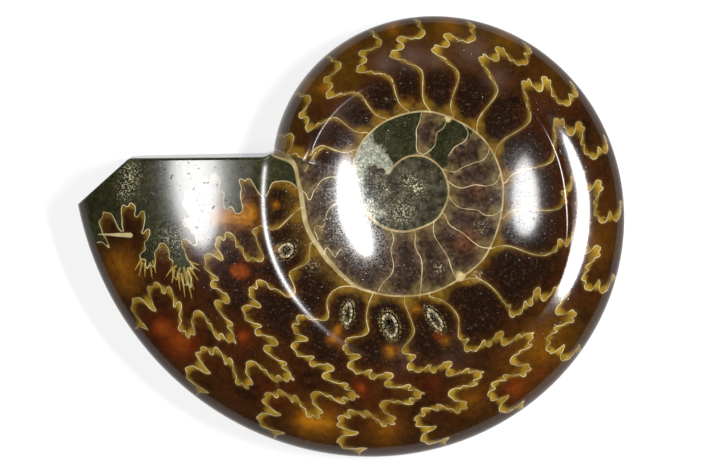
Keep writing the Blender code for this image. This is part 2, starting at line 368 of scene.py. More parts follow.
SEPTA = (  # growth of the outer bulge, first grown stroke, smooth part where it has its own
    (9.8, 8, None), (27.6, 8, None), (46.0, 8, None), (64.1, 8, None), (80.5, 8, None), (98.6, 8, None),
    (118.2, 8, None), (137.4, 8, None), (156.0, 8, None),
    (175.3, 8, ((183, 0.437), (179, 0.462), (176.5, 0.49), (175.4, 0.53), (175, 0.56), (174.6, 0.61),
                (174, 0.65), (173.3, 0.68), (172.4, 0.70), (171.2, 0.712), (170, 0.734),
                (168.5, 0.722), (166.6, 0.707), (165.9, 0.716), (165.5, 0.73))),
    (195.0, 8, ((201.5, 0.435), (198.5, 0.455), (196, 0.485), (194.8, 0.515), (194.2, 0.55),
                (193.5, 0.60), (192.5, 0.64), (191.5, 0.665), (190, 0.682), (188.8, 0.70),
                (188.2, 0.709), (186, 0.706), (184, 0.705), (183.6, 0.718), (184.3, 0.728),
                (184.6, 0.735))),
    (215.0, 5, ((226, 0.427), (221, 0.445), (218, 0.468), (216.3, 0.50), (215.4, 0.54), (215.3, 0.58),
                (215.7, 0.61), (215.3, 0.635))),
    (234.5, 5, ((245, 0.425), (240, 0.45), (237, 0.48), (235.3, 0.51), (234.6, 0.54), (235.2, 0.57),
                (236.5, 0.60), (237, 0.615), (236.5, 0.63), (234.8, 0.638))),
    (254.0, 5, ((258, 0.43), (256, 0.465), (254.3, 0.505), (253.3, 0.535), (253.5, 0.55), (255, 0.57),
                (257, 0.59), (258, 0.61), (257.3, 0.62), (255, 0.625), (253.2, 0.632))),
    (272.6, 4, ((274.5, 0.405), (274.8, 0.44), (274.5, 0.46), (273.8, 0.49), (272.5, 0.515),
                (271.5, 0.53), (271.2, 0.54), (271.8, 0.552), (273.5, 0.562), (276, 0.57),
                (277.8, 0.58), (278.0, 0.592), (277.2, 0.601))),
    (290.3, 3, ((283.5, 0.395), (288, 0.405), (290.5, 0.42), (291.8, 0.44), (292, 0.46), (291.5, 0.48),
                (290, 0.50), (288, 0.52), (287.3, 0.535), (288, 0.548), (290.5, 0.554),
                (291.6, 0.562))),
    (307.8, 3, ((316, 0.37), (311, 0.40), (309.5, 0.41), (309, 0.425), (309.7, 0.45), (310.2, 0.475),
                (309.8, 0.488), (307, 0.497), (304, 0.51), (302.3, 0.53), (303.5, 0.548), (306, 0.55),
                (308.3, 0.555), (309, 0.567))),
    (325.6, 1, ((335, 0.345), (332, 0.38), (330, 0.405), (328.3, 0.43), (328, 0.445), (328.7, 0.458),
                (330.5, 0.468), (331, 0.482), (330.6, 0.494))),
    (343.4, 0, ((344, 0.335), (347.5, 0.355), (348.3, 0.375), (348, 0.395), (347.3, 0.412),
                (345, 0.423), (342.5, 0.435), (341.5, 0.444), (342.6, 0.456))),
)
SEAM = (  # the wall between the coils, from the mouth to the middle
    (360.3, 0.425), (359.4, 0.39), (358, 0.356), (355, 0.342), (350.8, 0.337), (342, 0.332),
    (333.6, 0.338), (325.7, 0.348), (319, 0.353), (313, 0.355), (305.7, 0.363), (299.6, 0.369),
    (293, 0.379), (281.3, 0.395), (260.4, 0.403), (238.7, 0.414), (212.7, 0.427), (198.8, 0.427),
    (181.7, 0.428), (162.3, 0.440), (143, 0.449), (125, 0.450), (100, 0.446), (81, 0.448), (56, 0.443),
    (34.5, 0.440), (18.8, 0.434), (5, 0.416), (-15, 0.396), (-33, 0.39), (-65, 0.397), (-97, 0.394),
    (-133, 0.400), (-152, 0.416), (-186, 0.437), (-223, 0.457), (-258, 0.471), (-289, 0.462),
    (-323, 0.435), (-341, 0.44),
)


BEND_STEPS = 8


def smooth_curve(points, spacing):
    """A smooth curve through points, as an even chain with a spacing or, if whole, a count."""
    points = [Vector(p) for p in points]
    ends = [points[0] * 2 - points[1], *points, points[-1] * 2 - points[-2]]
    chain = [points[0]]
    for before, start, end, after in zip(ends, ends[1:], ends[2:], ends[3:]):
        length = (end - start).length
        if length < 1e-9:
            continue
        first = (end - before).normalized() * length / 3.0
        last = (after - start).normalized() * length / 3.0
        for k in range(1, BEND_STEPS + 1):
            t = k / BEND_STEPS
            s = 1.0 - t
            leaving = s**3 * start + 3 * s * s * t * (start + first)
            chain.append(leaving + 3 * s * t * t * (end - last) + t**3 * end)
    chain = np.array(chain)
    along = np.concatenate(([0.0], np.cumsum(np.hypot(*np.diff(chain, axis=0).T))))
    count = spacing if isinstance(spacing, int) else max(2, int(round(along[-1] / spacing)) + 1)
    even = np.linspace(0.0, along[-1], count)
    return np.column_stack([np.interp(even, along, chain[:, k]) for k in (0, 1)])


def flat(points):
    """Growth and share as lengths of the same kind."""
    return [(growth * DEGREE, share) for growth, share in points]


STROKE_STEPS, SMOOTH_STEPS = 12, 40
SUTURE_STEP, SUTURE_GAP = 0.004, 0.002  # in shares of the outer radius


def strokes_of(stage, start):
    """Each stroke of a suture as an even chain, from the end of the one before it."""
    strokes = []
    for points in stage:
        chain = [start, *flat(points)]
        strokes.append(smooth_curve(chain, STROKE_STEPS))
        start = flat(points)[-1]
    return strokes


def suture(bulge, first, smooth):
    """Growth angles and shares along one suture, whose outer bulge is at a growth angle."""
    ages = [age for age, stage in STAGES]
    upper = int(np.clip(np.searchsorted(ages, bulge), 1, len(STAGES) - 1))
    share = np.clip((bulge - ages[upper - 1]) / (ages[upper] - ages[upper - 1]), 0.0, 1.0)
    pair = STAGES[upper - 1:upper + 1]
    young, old = [strokes_of(stage, flat([stage[0][0]])[0]) for age, stage in pair]
    frilled = [a + (b - a) * share for a, b in zip(young, old)]
    inner = []
    if first < FRILLED:
        inner = strokes_of(GROWN[first:FRILLED], flat([GROWN[first][0]])[0])
    line = np.concatenate([*inner, *frilled])
    line[:, 0] += bulge * DEGREE
    if smooth is None:
        low = smooth_curve(flat(SMOOTH_YOUNG), SMOOTH_STEPS)
        high = smooth_curve(flat(SMOOTH_MIDDLE), SMOOTH_STEPS)
        part = low + (high - low) * np.clip((bulge - SMOOTH_FROM) / SMOOTH_OVER, 0.0, 1.0)
        part[:, 0] += bulge * DEGREE
    else:
        part = smooth_curve(flat(smooth), SMOOTH_STEPS)
    line = np.concatenate([part, line])
    keep = np.concatenate(([True], np.hypot(*np.diff(line, axis=0).T) > SUTURE_GAP))
    return smooth_curve(line[keep], SUTURE_STEP) / (DEGREE, 1.0)


LINE_STEP = 0.45
SEEN_ORIGIN = (351.45, 236.55)  # pixels of the photo, like the other seen points
SEEN_CENTRE = (410.2, 188.3)
SEEN_RADIUS, SEEN_GROWTH = 141.0, 0.142123  # of the coil, in pixels and in logarithms per radian


def seen_point(x, y):
    """Where a pixel of the photo lies on the upper face, in millimetres."""
    x, y = (x - SEEN_ORIGIN[0]) * PIXEL, (SEEN_ORIGIN[1] - y) * PIXEL
    centre, height = VIEW_CENTRE / MM, CAMERA_HEIGHT / MM
    px, py = x, y
    for _ in range(3):
        nearer = (height - top_height(px, py)) / (height - MIDDLE_PLANE)
        px, py = centre.x + (x - centre.x) * nearer, centre.y + (y - centre.y) * nearer
    return px, py


def seen_on_coil(growth, share):
    """A growth angle and a share of the outer radius, both measured in the photo."""
    radius = SEEN_RADIUS * share * np.exp(SEEN_GROWTH * np.radians(growth))
    turn = np.radians(COIL_START - growth)
    return seen_point(SEEN_CENTRE[0] + radius * np.cos(turn), SEEN_CENTRE[1] - radius * np.sin(turn))


growth, share = np.array(SEAM).T
seam = smooth_curve(np.column_stack(seen_on_coil(growth, share)), LINE_STEP)
lines = []
CROWDED = {325.6: (0.010, -0.045, -0.8), 343.4: (0.013, -0.09, -1.4)}  # shift, squeeze, turn
CROWDED_FROM, CROWDED_OVER = 0.5, 0.35  # share of the outer radius where they start to, and over what
FOOT_REACH = (0.3, 6.0)  # gaps between a suture and the wall that are closed
for bulge, first, smooth in SEPTA:
    course = suture(bulge, first, smooth)
    course = course[course[:, 0] > STEP_GROWTH]
    shift, squeeze, turn = CROWDED.get(bulge, (0.0, 0.0, 0.0))
    outward = np.clip(course[:, 1] - CROWDED_FROM, 0.0, CROWDED_OVER)
    course[:, 0] += outward * turn / CROWDED_OVER
    course[:, 1] += shift * np.minimum(outward * 20, 1) + squeeze * outward
    line = np.column_stack(seen_on_coil(course[:, 0], course[:, 1]))
    foot = seam[np.argmin(np.hypot(*(seam - line[0]).T))]
    if FOOT_REACH[0] < math.dist(foot, line[0]) < FOOT_REACH[1]:
        line = np.array([foot, *line])
    lines.append(smooth_curve(line, LINE_STEP))
last_line = lines[len(SEPTA) - 1]

INNER_SEPTA = (  # chamber walls of the inner turns, and the last ones by the notch, in seen points
    ((421.6, 112.8), (419.7, 121.7), (416.5, 129.3), (416.5, 138.3), (417.2, 151), (423, 154.5)),
    ((448.4, 116.5), (443.3, 128), (437, 133), (435, 144.6), (429.3, 151), (423, 155)),
    ((463, 124), (468, 132), (465, 140.8), (454.8, 147.2), (448.4, 156)),
    ((489, 148), (488, 153.6), (482.9, 160), (475.2, 162.5), (462.4, 167.6), (454.8, 172),
     (445.9, 170.2), (442, 169)),
    ((500.3, 174), (499.4, 176.5), (495.6, 182.9), (486.7, 186), (475.2, 184.8), (462.4, 188),
     (456, 186.7), (448.4, 181.6)),
    ((501.8, 209), (500.7, 211), (493, 215.4), (484.1, 214.8), (477.8, 210.3), (467.6, 209),
     (458.6, 207.1), (451, 199.5), (449, 195)),
    ((492, 248.6), (480.3, 246.7), (472.7, 241.6), (462.4, 232.7), (449.7, 225), (444.6, 214.8),
     (442, 213)),
    ((457.3, 281), (451, 267), (448.4, 258.2), (442, 248), (433.8, 234), (433.8, 221)),
    ((419.7, 297), (421.6, 278.6), (421.6, 260.7), (415.3, 246.7), (415.3, 234), (414, 230)),
    ((378.3, 291), (383.4, 282.4), (391, 274.7), (393.6, 265.8), (391, 250.5), (393.6, 239),
     (391, 229.5)),
    ((322.5, 148.5), (316, 152.5), (312.5, 158), (309, 164), (304.5, 172)),
    ((344, 177), (339, 177.3), (329, 177.3), (321, 181), (316.7, 187.8), (313.3, 192.2), (311.1, 198.6),
     (308.7, 199.8), (306.2, 194.4), (302.5, 191)),
    ((345, 197), (337.8, 202.2), (329, 208.9), (325.6, 217.8), (323.3, 226.7), (316.7, 225.6),
     (314.4, 230), (316.7, 235.6), (318, 240)),
    ((324.5, 254), (326.6, 247.8), (330.3, 251), (333, 253.6), (335, 257.3), (337.2, 253),
     (340.3, 250)),
)
for points in INNER_SEPTA:
    lines.append(smooth_curve([seen_point(*p) for p in points], LINE_STEP))


# The fills
# Hard green mud fills the mouth and a few chambers of the inner turns, and silvery or cream calcite
# fills a few more. Golden needles and one long splinter of calcite grow into the mud's edge.

PATCHES = {  # outlines in seen points
    "mud": (
        ((374, 132), (384, 122), (401, 115), (421, 112), (417, 133), (417, 152), (405, 157),
         (393, 163), (387, 154), (378, 144)),
        ((449, 118), (466, 125), (473, 132), (462, 142), (451, 151), (446, 168), (430, 152),
         (437, 140), (438, 129), (444, 124)),
    ),
    "silver": (
        ((372, 132), (378, 144), (387, 154), (393, 163), (389, 174), (384, 167), (371, 167),
         (366, 172), (363, 183), (355, 176), (353, 162), (362, 145)),
        ((363, 204), (375, 200), (380, 208), (388, 213), (380, 219), (367, 214)),
    ),
    "cream": (
        ((445, 116), (452, 117.5), (448, 123)),
        ((456, 275.5), (466, 274), (460, 281.5)),
    ),
}
SPIKES = (  # seen points, base and tip
    (142, 263, 139, 276), (145, 264, 145, 277), (150, 263, 152, 277), (153, 261, 156, 273),
    (141, 260, 135, 270), (172, 268, 166, 277), (174, 270, 172, 283), (178, 272, 180, 290),
    (182, 274, 185, 297), (186, 272, 192, 299), (188, 270, 194, 290), (190, 268, 198, 280),
    (191, 265, 200, 271), (176, 266, 169, 272), (184, 268, 187, 285), (180, 268, 176, 280),
    (190, 262, 199, 265),
)
SPIKE_WIDTHS = (0.42, 0.1)  # half widths at base and tip
SLIVER = (130.5, 235.2, 98.5, 234.3)
SLIVER_WIDTHS = (0.8, 0.15)
SPIKE_STEP, PATCH_STEP = 0.4, 0.6
spikes = []
for spike in (*SPIKES, SLIVER):
    spikes.append(smooth_curve([seen_point(*spike[:2]), seen_point(*spike[2:])], SPIKE_STEP))
patches = {}
for name, outlines in PATCHES.items():
    closed = [[seen_point(*p) for p in (*outline, outline[0])] for outline in outlines]
    patches[name] = [smooth_curve(outline, PATCH_STEP) for outline in closed]


# The body's mesh
# The stone is one solid. Each face is triangles over points seen from above, finer along lines,
# edges and pits, so that a marking can follow them. Short walls join the faces along the saw cuts.

RIM_TURN = 1.1  # degrees between the directions in which the bowl's edge is looked for
RIM_SEARCH = np.arange(18.0, 75.0, 0.05)  # distances from the lowest point of the bowl
RIM_STEP, RIM_BREAK = 0.8, 3.0


def rim_curves():
    """The edge of the bowl, in pieces, since the step breaks it."""
    turn = np.radians(np.arange(0.0, 360.0, RIM_TURN))
    x = BOWL_BOTTOM[0] + np.outer(np.cos(turn), RIM_SEARCH)
    y = BOWL_BOTTOM[1] + np.outer(np.sin(turn), RIM_SEARCH)
    below = shell_height(x, y, True) - bowl_height(x, y)
    pieces = [[]]
    for k in range(len(turn)):
        first = int(np.argmax(below[k] < 0.0))
        point = np.array((x[k, first], y[k, first]))
        if pieces[-1] and np.hypot(*(point - pieces[-1][-1])) > RIM_BREAK:
            pieces.append([])
        pieces[-1].append(point)
    return [smooth_curve(piece, RIM_STEP) for piece in pieces if len(piece) > 4]


RINGS = (  # share of a pit's half lengths, number of points
    (1.0, 40), (0.985, 40), (1.05, 40), (0.94, 36), (0.86, 30), (0.72, 24), (0.5, 16), (0.25, 8),
)


def ring_points(hollow):
    """Points on ellipses in a hollow and round it."""
    name, centre, length, width, depth, turn = hollow
    c, s = math.cos(math.radians(turn)), math.sin(math.radians(turn))
    for share, count in RINGS:
        for k in range(count):
            a = share * length / 2.0 * math.cos(k * math.tau / count)
            b = share * width / 2.0 * math.sin(k * math.tau / count)
            yield centre[0] + a * c - b * s, centre[1] + a * s + b * c


START_GROWTH = 0.35  # growth where the outer edge leaves the notch
TIP_SEARCH, TIP_MARGIN = np.arange(340.0, 344.0, 0.001), 0.12  # it ends this near to the corner cut
TIP_GROWTH = next(g for g in TIP_SEARCH if corner_distance(*coil_point(g, 1.0)) < TIP_MARGIN)


def coil_growths(step):
    """Growth angles along the outer edge, a step in millimetres apart."""
    growths = [START_GROWTH]
    while growths[-1] < TIP_GROWTH:
        growths.append(growths[-1] + math.degrees(step / outer_radius(growths[-1])))
    return np.array([*growths[:-1], TIP_GROWTH])


NOTCH_X = -25.8  # where the mouth cut starts to turn into the notch
NOTCH_BEND = (1.9, 0.1)  # from there to the corner that it rounds
CORNER_STEPS, MOUTH_STEPS, NOTCH_STEPS = 30, 48, 7


def cut_edge(height):
    """The edge of one face along the corner cut, the mouth and the notch."""
    tip = np.array(coil_point(TIP_GROWTH, 1.0))
    corner = np.array(CORNER_CUT[0])
    edge = [tip + (corner - tip) * (k / CORNER_STEPS) ** 1.7 for k in range(1, CORNER_STEPS)]
    for x in np.linspace(corner[0], NOTCH_X, MOUTH_STEPS):
        y = MOUTH_CUT_Y - 1.0
        for _ in range(4):
            y += float(mouth_distance(x, y, height(x, y - 0.01)))
        edge.append(np.array((x, y)))
    start = edge[-1]
    bend = start + NOTCH_BEND
    end = np.array(coil_point(START_GROWTH, 1.0))
    for k in range(1, NOTCH_STEPS):
        t = k / NOTCH_STEPS
        edge.append(start * (1 - t) ** 2 + bend * 2 * t * (1 - t) + end * t * t)
    return np.array(edge)


NOTCH_FLOOR = 23.4  # Y that the last turn stays under beside the notch
NOTCH_SIDE, NOTCH_SLOPE = (-23.35, 25.1), 0.9  # a point on the notch's slanting side, and its slope
NOTCH_LEFT = -26.0


class Plan:
    """Points of one face, seen from above, none closer to another than its gap."""

    def __init__(self, points, level):
        self.points, self.cells, self.level = [], {}, level
        for x, y in points:
            self.put(x, y)

    def put(self, x, y):
        """Keep a point, filed by the square millimetre that it lies in."""
        self.cells.setdefault((math.floor(x), math.floor(y)), []).append((x, y))
        self.points.append((x, y))

    def add(self, points, gap, margin):
        """Keep those points that are a gap from all others and a margin from the edge."""
        points = np.asarray(points)
        for x, y in points[self.inside(points[:, 0], points[:, 1], margin)]:
            column, row = math.floor(x), math.floor(y)
            cells = [(column + i, row + j) for i in (-1, 0, 1) for j in (-1, 0, 1)]
            near = [p for cell in cells for p in self.cells.get(cell, ())]
            if all((px - x) ** 2 + (py - y) ** 2 >= gap * gap for px, py in near):
                self.put(x, y)

    def inside(self, x, y, margin):
        """Which points lie on the dish, at least a margin in from its edge."""
        growth, radius = polar(x, y)
        limit = outer_radius(np.where(growth < 0.0, growth + 360.0, growth))
        good = (radius < limit - margin) & (corner_distance(x, y) > margin)
        behind = mouth_distance(x, y, self.level) > margin
        notch = (radius < FIRST_RADIUS - margin) | (y < NOTCH_FLOOR - margin)
        notch &= NOTCH_SIDE[1] - y > NOTCH_SLOPE * (NOTCH_SIDE[0] - x) + margin
        open_side = np.where(x > NOTCH_LEFT, notch, behind)
        return good & ((growth > 0.3) | (growth < -STEP_REACH) | open_side)


def beside(chain, distance):
    """The points of a chain moved to its left by a distance."""
    along = np.gradient(chain, axis=0)
    along /= np.maximum(np.hypot(along[:, 0], along[:, 1]), 1e-9)[:, None]
    return chain + np.column_stack([-along[:, 1], along[:, 0]]) * distance


COIL_SHARES = (0.9975, 0.991, 0.978, 0.957, 0.93)  # rows inside the outer edge
CUT_ROWS = (0.05, 0.15, 0.32, 0.55, 0.85, 1.3)  # distances from the cut edge
RIM_ROWS = (0.3, 0.65, 1.1, 1.7, 2.4)  # distances from the bowl's edge
STEP_RADII = np.arange(28.0, 41.2, 0.5)  # rows across the step
GRID_X, GRID_Y = (-82.0, 81.0), (-66.0, 66.0)  # a triangular grid fills what is left


def plan_face(height, level, chains, grid):
    """Points of one face, finer along its lines and edges, and how many lie on coil and cut."""
    coil = np.column_stack(coil_point(coil_growths(1.0), 1.0))
    cut = cut_edge(height)
    plan = Plan([*coil, *cut], level)
    for share in COIL_SHARES:
        plan.add(np.column_stack(coil_point(coil_growths(1.0), share)), gap=0.1, margin=0.02)
    for depth in CUT_ROWS:
        for side in (-depth, depth):
            row = beside(np.array([coil[-1], *cut]), side)
            plan.add(row, gap=0.04 + depth * 0.3, margin=depth * 0.5)
    for radius in STEP_RADII:
        across = np.linspace(-STEP_HALF_WIDTH, STEP_HALF_WIDTH, 9)
        growth = -STEP_GROWTH - STEP_LEAN * (STEP_RADIUS - radius) + np.degrees(across / radius)
        row = np.column_stack(coil_point(growth, radius / outer_radius(growth)))
        plan.add(row, gap=0.1, margin=0.05)
    if level > 0.0:
        for hollow in HOLLOWS:
            plan.add(list(ring_points(hollow)), gap=0.02, margin=0.1)
        for rim in rim_curves():
            plan.add(rim, gap=0.1, margin=0.1)
            for distance in RIM_ROWS:
                plan.add(beside(rim, distance), gap=0.2, margin=0.1)
                plan.add(beside(rim, -distance), gap=0.2, margin=0.1)
    for chain, rows in chains:
        plan.add(chain, gap=0.2, margin=0.15)
    for chain, rows in chains:
        for distance in rows:
            plan.add(beside(chain, distance), gap=0.2, margin=0.15)
            plan.add(beside(chain, -distance), gap=0.2, margin=0.15)
    across, along = np.meshgrid(np.arange(*GRID_X, grid), np.arange(*GRID_Y, grid * 0.866))
    across = across + (np.arange(across.shape[0]) % 2 * grid / 2.0)[:, None]
    plan.add(np.column_stack([across.ravel(), along.ravel()]), gap=grid * 0.55, margin=0.3)
    loop = len(coil) + len(cut)
    points = np.array(plan.points)
    good = within(points, points[:loop])
    good[:loop] = True
    return points[good], len(coil), len(cut)


def within(points, loop):
    """Which points lie within a closed loop."""
    x, y = points.T
    found = np.zeros(len(points), bool)
    for (ax, ay), (bx, by) in zip(loop, np.roll(loop, -1, axis=0)):
        crosses = (ay > y) != (by > y)
        if ay != by:
            found ^= crosses & (x < ax + (y - ay) * (bx - ax) / (by - ay))
    return found


def triangles(points, loop):
    """Triangles over plan points, inside the outline made by the first ones."""
    edges = [(k, (k + 1) % loop) for k in range(loop)]
    found = delaunay_2d_cdt([Vector(p) for p in points], edges, [], 0, 1e-7, True)
    source = [origin[0] for origin in found[3]]
    faces = np.array([[source[k] for k in face] for face in found[2]])
    a, b, c = points[faces].transpose(1, 0, 2)
    area = np.abs((b - a)[:, 0] * (c - a)[:, 1] - (b - a)[:, 1] * (c - a)[:, 0])
    return faces[(area > 1e-6) & within((a + b + c) / 3.0, points[:loop])].tolist()


def slopes(height, x, y):
    """How steeply a face rises towards X and towards Y."""
    step = 0.02
    return (
        (height(x + step, y) - height(x - step, y)) / (2.0 * step),
        (height(x, y + step) - height(x, y - step)) / (2.0 * step),
    )


FACES = (  # height, level at which the mouth cut meets it, which way it looks, grid
    (top_height, 33.0, 1.0, 1.1),
    (bottom_height, 0.0, -1.0, 2.0),
)
LINE_ROWS, SEAM_ROWS = (0.24,), (0.3, 0.6, 1.0)  # distances of the rows of points beside each kind
PATCH_ROWS, SPIKE_ROWS = (0.15,), (0.2, 0.45, 0.8)
WALL_ROWS = 7
coordinates, normals, faces = [], [], []
face_points = {}
for height, level, sign, grid in FACES:
    chains = [(line, LINE_ROWS) for line in lines] + [(seam, SEAM_ROWS)]
    if sign > 0.0:
        chains += [(patch, PATCH_ROWS) for outlines in patches.values() for patch in outlines]
        chains += [(spike, SPIKE_ROWS) for spike in spikes]
    points, coil_count, cut_count = plan_face(height, level, chains, grid)
    x, y = points.T
    z = height(x, y)
    dx, dy = slopes(height, x, y)
    normal = np.column_stack([-sign * dx, -sign * dy, np.full(len(x), sign)])
    loop = coil_count + cut_count
    ring = points[:loop]
    turn = np.roll(ring, -1, axis=0) - np.roll(ring, 1, axis=0)
    normal[:loop] = np.column_stack([-turn[:, 1], turn[:, 0], np.zeros(loop)])
    z[:coil_count] = MIDDLE_PLANE
    start = len(coordinates) - coil_count if coordinates else 0
    index = np.arange(len(points)) + start
    if coordinates:
        index[:coil_count] = np.arange(coil_count)
    new = slice(coil_count if coordinates else 0, None)
    coordinates += list(np.column_stack([x, y, z])[new])
    normals += list(normal[new])
    for face in triangles(points, loop):
        order = face if sign > 0 else face[::-1]
        faces.append(tuple(int(index[k]) for k in order))
    face_points[sign] = index
edge = {}
for sign in (1.0, -1.0):
    index = face_points[sign]
    edge[sign] = [int(index[coil_count - 1]), *map(int, index[coil_count:loop]), int(index[0])]
rows = [edge[1.0]]
for k in range(1, WALL_ROWS):
    row = [edge[1.0][0]]
    for upper, lower in zip(edge[1.0][1:-1], edge[-1.0][1:-1]):
        row.append(len(coordinates))
        coordinates.append(coordinates[upper] + (coordinates[lower] - coordinates[upper]) * k / WALL_ROWS)
        normals.append(normals[upper])
    rows.append([*row, edge[1.0][-1]])
rows.append(edge[-1.0])
for upper, lower in zip(rows, rows[1:]):
    for a, b, c, d in zip(upper, upper[1:], lower[1:], lower):
        for face in ((a, b, c), (a, c, d)):
            if len(set(face)) == 3:
                faces.append(face)
coordinates = np.array(coordinates)
normals = np.array(normals)
normals /= np.linalg.norm(normals, axis=1)[:, None]

mesh = bpy.data.meshes.new("polished fossil")
mesh.from_pydata((coordinates * MM).tolist(), [], faces)
mesh.shade_smooth()
mesh.normals_split_custom_set_from_vertices(normals.tolist())
body = bpy.data.objects.new("polished_fossil", mesh)
bpy.context.scene.collection.objects.link(body)


# What shows on the body
# Each point of the mesh keeps how far it is from the walls, fills and pits, how much light comes
# back from inside the stone there, amber, red or olive, and where grains, painted glints, a painted sheen
# and a painted highlight lie.


def nearest(points, chains):
    """Distance from points to the nearest of some chains, seen from above."""
    samples = []
    for chain in chains:
        places = np.arange(len(chain))
        share = np.linspace(0.0, len(chain) - 1.0, (len(chain) - 1) * 5 + 1)
        samples += list(np.column_stack([np.interp(share, places, chain[:, k]) for k in (0, 1)]))
    tree = KDTree(len(samples))
    for k, (x, y) in enumerate(samples):
        tree.insert((x, y, 0.0), k)
    tree.balance()
    return np.array([tree.find((x, y, 0.0))[2] for x, y in points])


def taper(points, chain, widths):
    """Distance from a straight, pointed stroke, as a share of its half width."""
    along = chain[-1] - chain[0]
    share = np.clip((points - chain[0]) @ along / (along @ along), 0.0, 1.0)
    away = np.hypot(*(points - chain[0] - share[:, None] * along).T)
    return away / (widths[0] + (widths[1] - widths[0]) * share)


def wrap(points, chains, reach):
    """How far round each point the nearest stretch of a chain goes, as a share of a full turn."""
    widest = np.zeros(len(points))
    for chain in chains:
        above = (points > chain.min(axis=0) - reach).all(axis=1)
        below = (points < chain.max(axis=0) + reach).all(axis=1)
        near = np.flatnonzero(above & below)
        start = chain[None, :-1] - points[near, None]
        end = chain[None, 1:] - points[near, None]
        cross = start[..., 0] * end[..., 1] - start[..., 1] * end[..., 0]
        dot = (start * end).sum(axis=2)
        away = np.hypot(*((start + end) / 2.0).transpose(2, 0, 1))
        angle = np.arctan2(cross, dot) * smooth_step((reach - away) / (reach * 0.3))
        widest[near] = np.maximum(widest[near], np.abs(angle.sum(axis=1)) / math.tau)
    return widest


def filled(outlines):
    """Which points of the upper face lie in any of some outlines."""
    found = np.zeros(len(flat_points), bool)
    for outline in outlines:
        found |= within(flat_points, outline)
    return found & on_top


FRILL_REACH, BAY_REACH = 2.4, 5.0  # how far off a line still wraps round a point
flat_points = coordinates[:, :2]
on_top = np.zeros(len(coordinates), bool)
on_top[face_points[1.0]] = True
bay = wrap(flat_points, lines, BAY_REACH)
marks = {  # distances from lines, then how far lines wrap round a point
    "line": nearest(flat_points, lines),
    "seam": nearest(flat_points, [seam]),
    "spike": np.min([taper(flat_points, spike, SPIKE_WIDTHS) for spike in spikes[:-1]], axis=0),
    "sliver": taper(flat_points, spikes[-1], SLIVER_WIDTHS),
    "last": nearest(flat_points, [last_line]),
    "frill": wrap(flat_points, lines, FRILL_REACH),
    "bay": bay,
    "wedge": bay + wrap(flat_points, [seam], BAY_REACH),
}
growth, radius = polar(*flat_points.T)
marks["share"] = radius / outer_radius(np.where(growth < 0.0, growth + 360.0, growth))
marks["hollow"] = np.min([hollow_spread(*flat_points.T, hollow) for hollow in HOLLOWS], axis=0)

MUD_LEFT, MUD_RIGHT, MUD_TOP = -100.0, -28.0, 60.0  # its outline runs on past the cut edges
SEAM_IN_MUD = 6  # points of the wall between the coils that border it
mouth_mud = [*last_line, (MUD_LEFT, last_line[-1][1]), (MUD_LEFT, MUD_TOP)]
mouth_mud += [(MUD_RIGHT, MUD_TOP), (MUD_RIGHT, MUD_TOP / 2.0)]
mouth_mud += [seen_on_coil(*np.array(point)) for point in SEAM[:SEAM_IN_MUD]]
marks["mud"] = (within(flat_points, np.array(mouth_mud)) | filled(patches["mud"])).astype(float)
for name in ("silver", "cream"):
    marks[name] = filled(patches[name]).astype(float)
TURNS = (("inner", 2.0), ("disc", -345.0))  # what a turn of the wall encloses, and where it starts
NEARLY_A_TURN = 358.0
for name, start in TURNS:
    wall = np.array([point for point in SEAM if start < point[0] < start + NEARLY_A_TURN])
    marks[name] = within(flat_points, np.column_stack(seen_on_coil(*wall.T))).astype(float)

SEAM_WIDTH = 0.24
SWELLINGS = (  # where the wall is thicker: seen point, added width, level, reach
    ((277.0, 153.0), 0.9, 1.0, 9.0),
    ((312.0, 235.0), 0.4, 1.3, 24.0),
)
width = SEAM_WIDTH
for place, added, level, reach in SWELLINGS:
    away = np.hypot(*(flat_points - seen_point(*place)).T)
    width = width + added * smooth_step(level - away / reach)
marks["seam"] = marks["seam"] / width

SCUFF_DEPTH, SCUFF_FROM = 2.5, 10.0  # the bowl's edge is scuffed this far down, left of this X
rise = np.abs(shell_height(*flat_points.T, True) - bowl_height(*flat_points.T))
left = smooth_step((SCUFF_FROM - flat_points[:, 0]) / SCUFF_FROM)
marks["rim"] = smooth_step(1.0 - rise / SCUFF_DEPTH) * left * on_top

